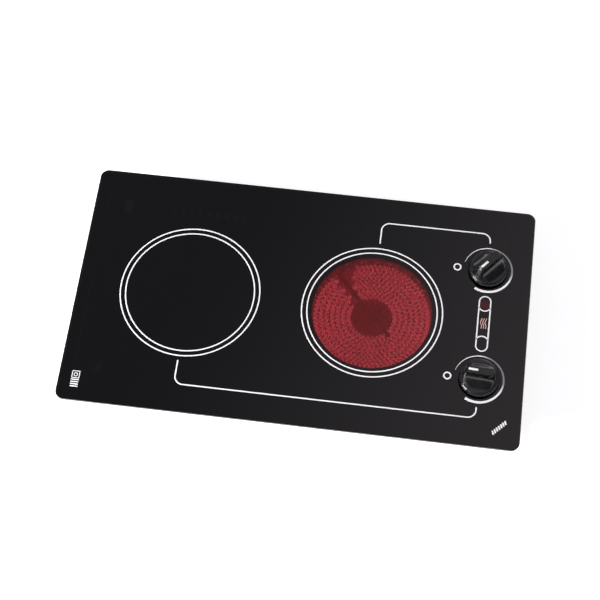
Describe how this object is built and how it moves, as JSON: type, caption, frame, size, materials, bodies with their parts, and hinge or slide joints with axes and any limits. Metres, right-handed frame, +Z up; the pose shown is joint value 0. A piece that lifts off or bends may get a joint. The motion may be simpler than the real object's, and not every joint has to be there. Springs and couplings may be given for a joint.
{
  "type": "two-zone glass ceramic hob",
  "caption": "Built-in electric hot plate: black glass-ceramic top with two radiant zones, one glowing, and push-and-turn knobs at the right end.",
  "frame": {"origin": "under the middle of the glass, at the underside of the burner box, which the hob stands on when it is out of the worktop", "axes": "+X along the glass's long side towards the knobs, +Y away from the cook, +Z up"},
  "size_m": [0.5334, 0.303, 0.0903],
  "materials": {
    "glass_ceramic": "polished",
    "silicone": "matte",
    "foam_tape": "matte",
    "galvanised_steel": "satin",
    "zinc_steel": "bright",
    "spring_steel": "satin",
    "insulation": "matte",
    "ribbon": "oxidised",
    "ribbon_glowing": "glowing",
    "quartz": "polished",
    "steatite": "matte",
    "knob_black": "glossy",
    "pointer_white": "glossy",
    "shaft_steel": "satin",
    "seal_rubber": "matte",
    "switch_moulding": "matte",
    "cam_moulding": "matte",
    "brass_tabs": "satin",
    "lamp_lit": "glossy",
    "lamp_dark": "glossy",
    "gland_nylon": "matte",
    "lead_sleeve": "matte"
  },
  "bodies": {
    "hob": {"burner_box": "galvanised_steel", "cable_gland": "gland_nylon", "clamp_nuts": "zinc_steel", "clamp_studs": "zinc_steel", "control_bracket": "galvanised_steel", "earth_screw": "zinc_steel", "frame_screws": "zinc_steel", "front_contact_blade": "spring_steel", "front_lamp": "lamp_dark", "front_shaft_seal": "seal_rubber", "front_switch_base": "switch_moulding", "front_switch_cover": "switch_moulding", "front_switch_tabs": "brass_tabs", "gland_locknut": "gland_nylon", "glass_bond": "silicone", "glass_top": "glass_ceramic", "internal_leads": "lead_sleeve", "lamp_holder": "gland_nylon", "left_element_dish": "galvanised_steel", "left_heater_terminal": "steatite", "left_heating_ribbon": "ribbon", "left_insulation_base": "insulation", "left_insulation_wall": "insulation", "left_limiter_head": "steatite", "left_limiter_tube": "quartz", "left_support_springs": "spring_steel", "mains_terminal": "switch_moulding", "rear_contact_blade": "spring_steel", "rear_lamp": "lamp_lit", "rear_shaft_seal": "seal_rubber", "rear_switch_base": "switch_moulding", "rear_switch_cover": "switch_moulding", "rear_switch_tabs": "brass_tabs", "right_element_dish": "galvanised_steel", "right_heater_terminal": "steatite", "right_heating_ribbon": "ribbon_glowing", "right_insulation_base": "insulation", "right_insulation_wall": "insulation", "right_limiter_head": "steatite", "right_limiter_tube": "quartz", "right_support_springs": "spring_steel", "switch_screws": "zinc_steel", "top_frame": "galvanised_steel", "worktop_gasket": "foam_tape"},
    "rear_cam": {"rear_switch_cam": "cam_moulding", "rear_return_spring": "spring_steel"},
    "rear_knob_set": {"rear_shaft": "shaft_steel", "rear_knob": "knob_black", "rear_knob_pointer": "pointer_white", "rear_knob_clip": "spring_steel"},
    "front_cam": {"front_switch_cam": "cam_moulding", "front_return_spring": "spring_steel"},
    "front_knob_set": {"front_shaft": "shaft_steel", "front_knob": "knob_black", "front_knob_pointer": "pointer_white", "front_knob_clip": "spring_steel"},
    "rear_left_clamp": {"rear_left_clamp": "spring_steel"},
    "rear_right_clamp": {"rear_right_clamp": "spring_steel"},
    "front_left_clamp": {"front_left_clamp": "spring_steel"},
    "front_right_clamp": {"front_right_clamp": "spring_steel"}
  },
  "joints": [
    {"name": "rear_knob_turn", "type": "hinge", "parent": "hob", "child": "rear_cam", "pos_m": [0.2147, 0.07, 0.03], "axis": [0, 0, -1], "range_deg": [-308, 0]},
    {"name": "rear_knob_push", "type": "slide", "parent": "rear_cam", "child": "rear_knob_set", "axis": [0, 0, -1], "range_m": [0, 0.0025], "stiffness_N_per_m": 1200, "springref_m": -0.0025, "deforming": ["rear_return_spring"]},
    {"name": "front_knob_turn", "type": "hinge", "parent": "hob", "child": "front_cam", "pos_m": [0.2147, -0.07, 0.03], "axis": [0, 0, -1], "range_deg": [0, 308]},
    {"name": "front_knob_push", "type": "slide", "parent": "front_cam", "child": "front_knob_set", "axis": [0, 0, -1], "range_m": [0, 0.0025], "stiffness_N_per_m": 1200, "springref_m": -0.0025, "deforming": ["front_return_spring"]},
    {"name": "rear_left_clamp_swing", "type": "hinge", "parent": "hob", "child": "rear_left_clamp", "pos_m": [-0.246, 0.1066, 0.021], "axis": [0, 0, 1], "range_deg": [0, 90]},
    {"name": "rear_right_clamp_swing", "type": "hinge", "parent": "hob", "child": "rear_right_clamp", "pos_m": [0.246, 0.1066, 0.021], "axis": [0, 0, -1], "range_deg": [0, 90]},
    {"name": "front_left_clamp_swing", "type": "hinge", "parent": "hob", "child": "front_left_clamp", "pos_m": [-0.246, -0.1066, 0.021], "axis": [0, 0, -1], "range_deg": [0, 90]},
    {"name": "front_right_clamp_swing", "type": "hinge", "parent": "hob", "child": "front_right_clamp", "pos_m": [0.246, -0.1066, 0.021], "axis": [0, 0, 1], "range_deg": [0, 90]}
  ]
}
